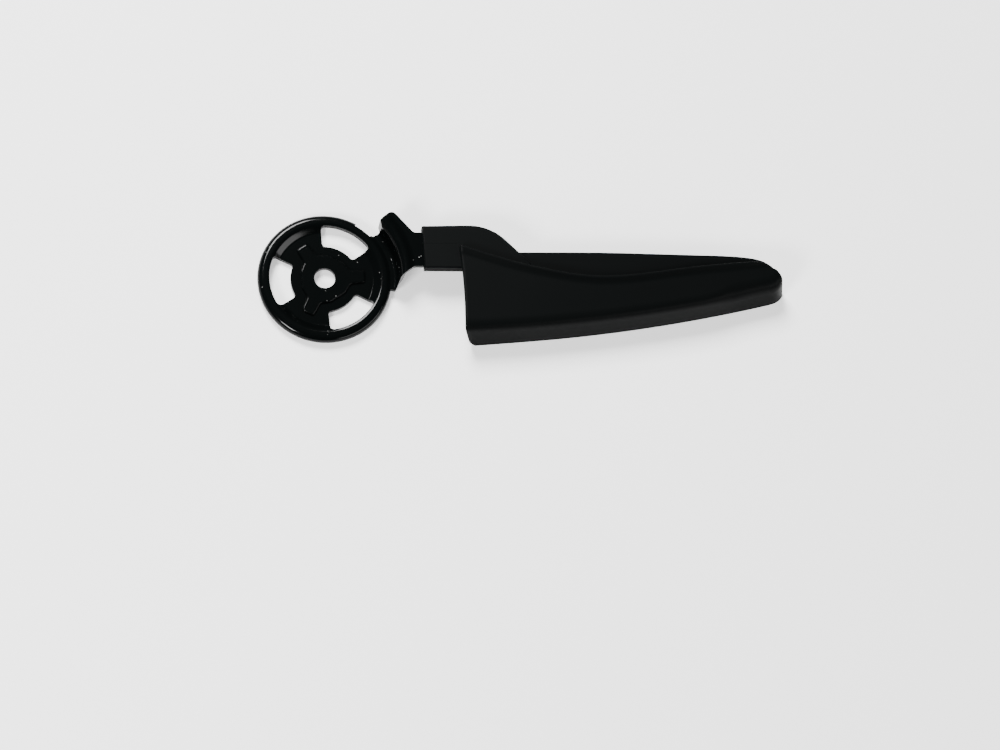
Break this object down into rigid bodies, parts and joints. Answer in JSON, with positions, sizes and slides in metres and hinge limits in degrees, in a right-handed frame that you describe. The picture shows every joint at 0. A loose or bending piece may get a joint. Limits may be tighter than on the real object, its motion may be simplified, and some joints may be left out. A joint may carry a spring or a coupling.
{
  "type": "car seat height lever",
  "caption": "Seat height lever: pressed steel disc with arc slots and centre bore, stepped neck and arm in a moulded plastic handle.",
  "frame": {"origin": "centre of the hub bore, on the back of the raised seat round it", "axes": "+X along the lever towards the tip of the grip, +Z along the bore out of the outer face"},
  "size_m": [0.265, 0.0662, 0.0196],
  "materials": {
    "painted_steel": "gloss",
    "base_plastic": "fine grain",
    "cover_plastic": "satin"
  },
  "bodies": {
    "root": {"lever_plate": "painted_steel", "handle_base": "base_plastic", "grip_cover": "cover_plastic"}
  },
  "joints": []
}
